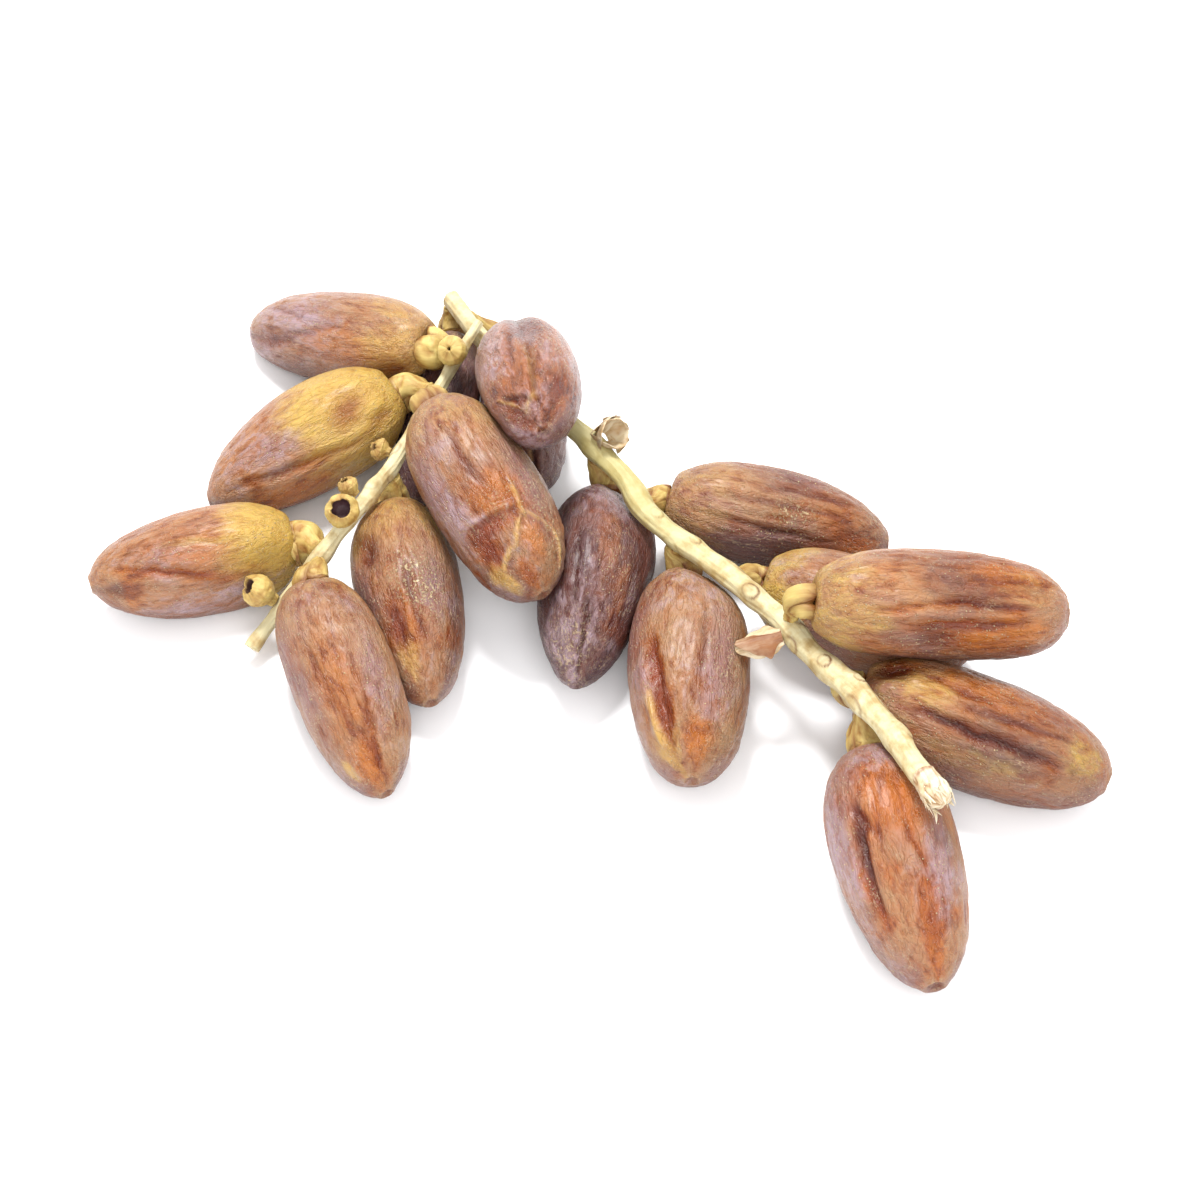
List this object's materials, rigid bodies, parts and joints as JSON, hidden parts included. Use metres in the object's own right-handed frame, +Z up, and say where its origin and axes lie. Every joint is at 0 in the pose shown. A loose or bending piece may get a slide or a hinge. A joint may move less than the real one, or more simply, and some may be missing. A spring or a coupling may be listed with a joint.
{
  "type": "bunch of dates",
  "caption": "Bunch of ripe dates in woody caps on two cut strands, lying in a loose pile on a flat surface.",
  "frame": {"origin": "middle of the bunch's box, seen from above, on the surface that it lies on", "axes": "+X along the bunch's longest side, from the short strand's end to the long strand's side; +Z up, away from the surface; +Y away from a viewer who stands at the dates' tips"},
  "size_m": [0.175, 0.1494, 0.0397],
  "materials": {
    "date_brown": "wrinkled waxy date skin, red-brown with a pale bloom, satin with glossy patches",
    "date_golden": "wrinkled waxy date skin, golden to olive at the stem end, satin",
    "date_dark": "wrinkled waxy date skin, dark plum with a pale bloom, satin",
    "date_amber": "wrinkled waxy date skin, translucent amber orange, half gloss",
    "woody_cap": "dry woody calyx, matt, yellow-tan",
    "papery_husk": "dry papery husk and torn fibre, matt, cream",
    "strand": "smooth dry plant stalk with lengthwise grain, pale cream-yellow, half matt"
  },
  "bodies": {
    "root": {"date_01": "date_brown", "date_02": "date_golden", "date_03": "date_golden", "date_04": "date_brown", "date_05": "date_brown", "date_06": "date_brown", "date_07": "date_dark", "date_08": "date_dark", "date_09": "date_dark", "date_10": "date_dark", "date_11": "date_brown", "date_12": "date_brown", "date_13": "date_golden", "date_14": "date_golden", "date_15": "date_golden", "date_16": "date_amber", "cap_01": "woody_cap", "cap_02": "woody_cap", "cap_03": "woody_cap", "cap_04": "woody_cap", "cap_05": "woody_cap", "cap_06": "woody_cap", "cap_07": "woody_cap", "cap_08": "woody_cap", "cap_09": "woody_cap", "cap_10": "woody_cap", "cap_11": "woody_cap", "cap_12": "woody_cap", "cap_13": "woody_cap", "cap_14": "woody_cap", "cap_15": "woody_cap", "cap_16": "woody_cap", "empty_cup_1": "woody_cap", "empty_cup_2": "woody_cap", "empty_cup_3": "woody_cap", "empty_cup_4": "woody_cap", "empty_cup_5": "woody_cap", "dry_calyx": "papery_husk", "dry_husk": "papery_husk", "long_strand": "strand", "short_strand": "strand", "frayed_tip": "papery_husk"}
  },
  "joints": []
}
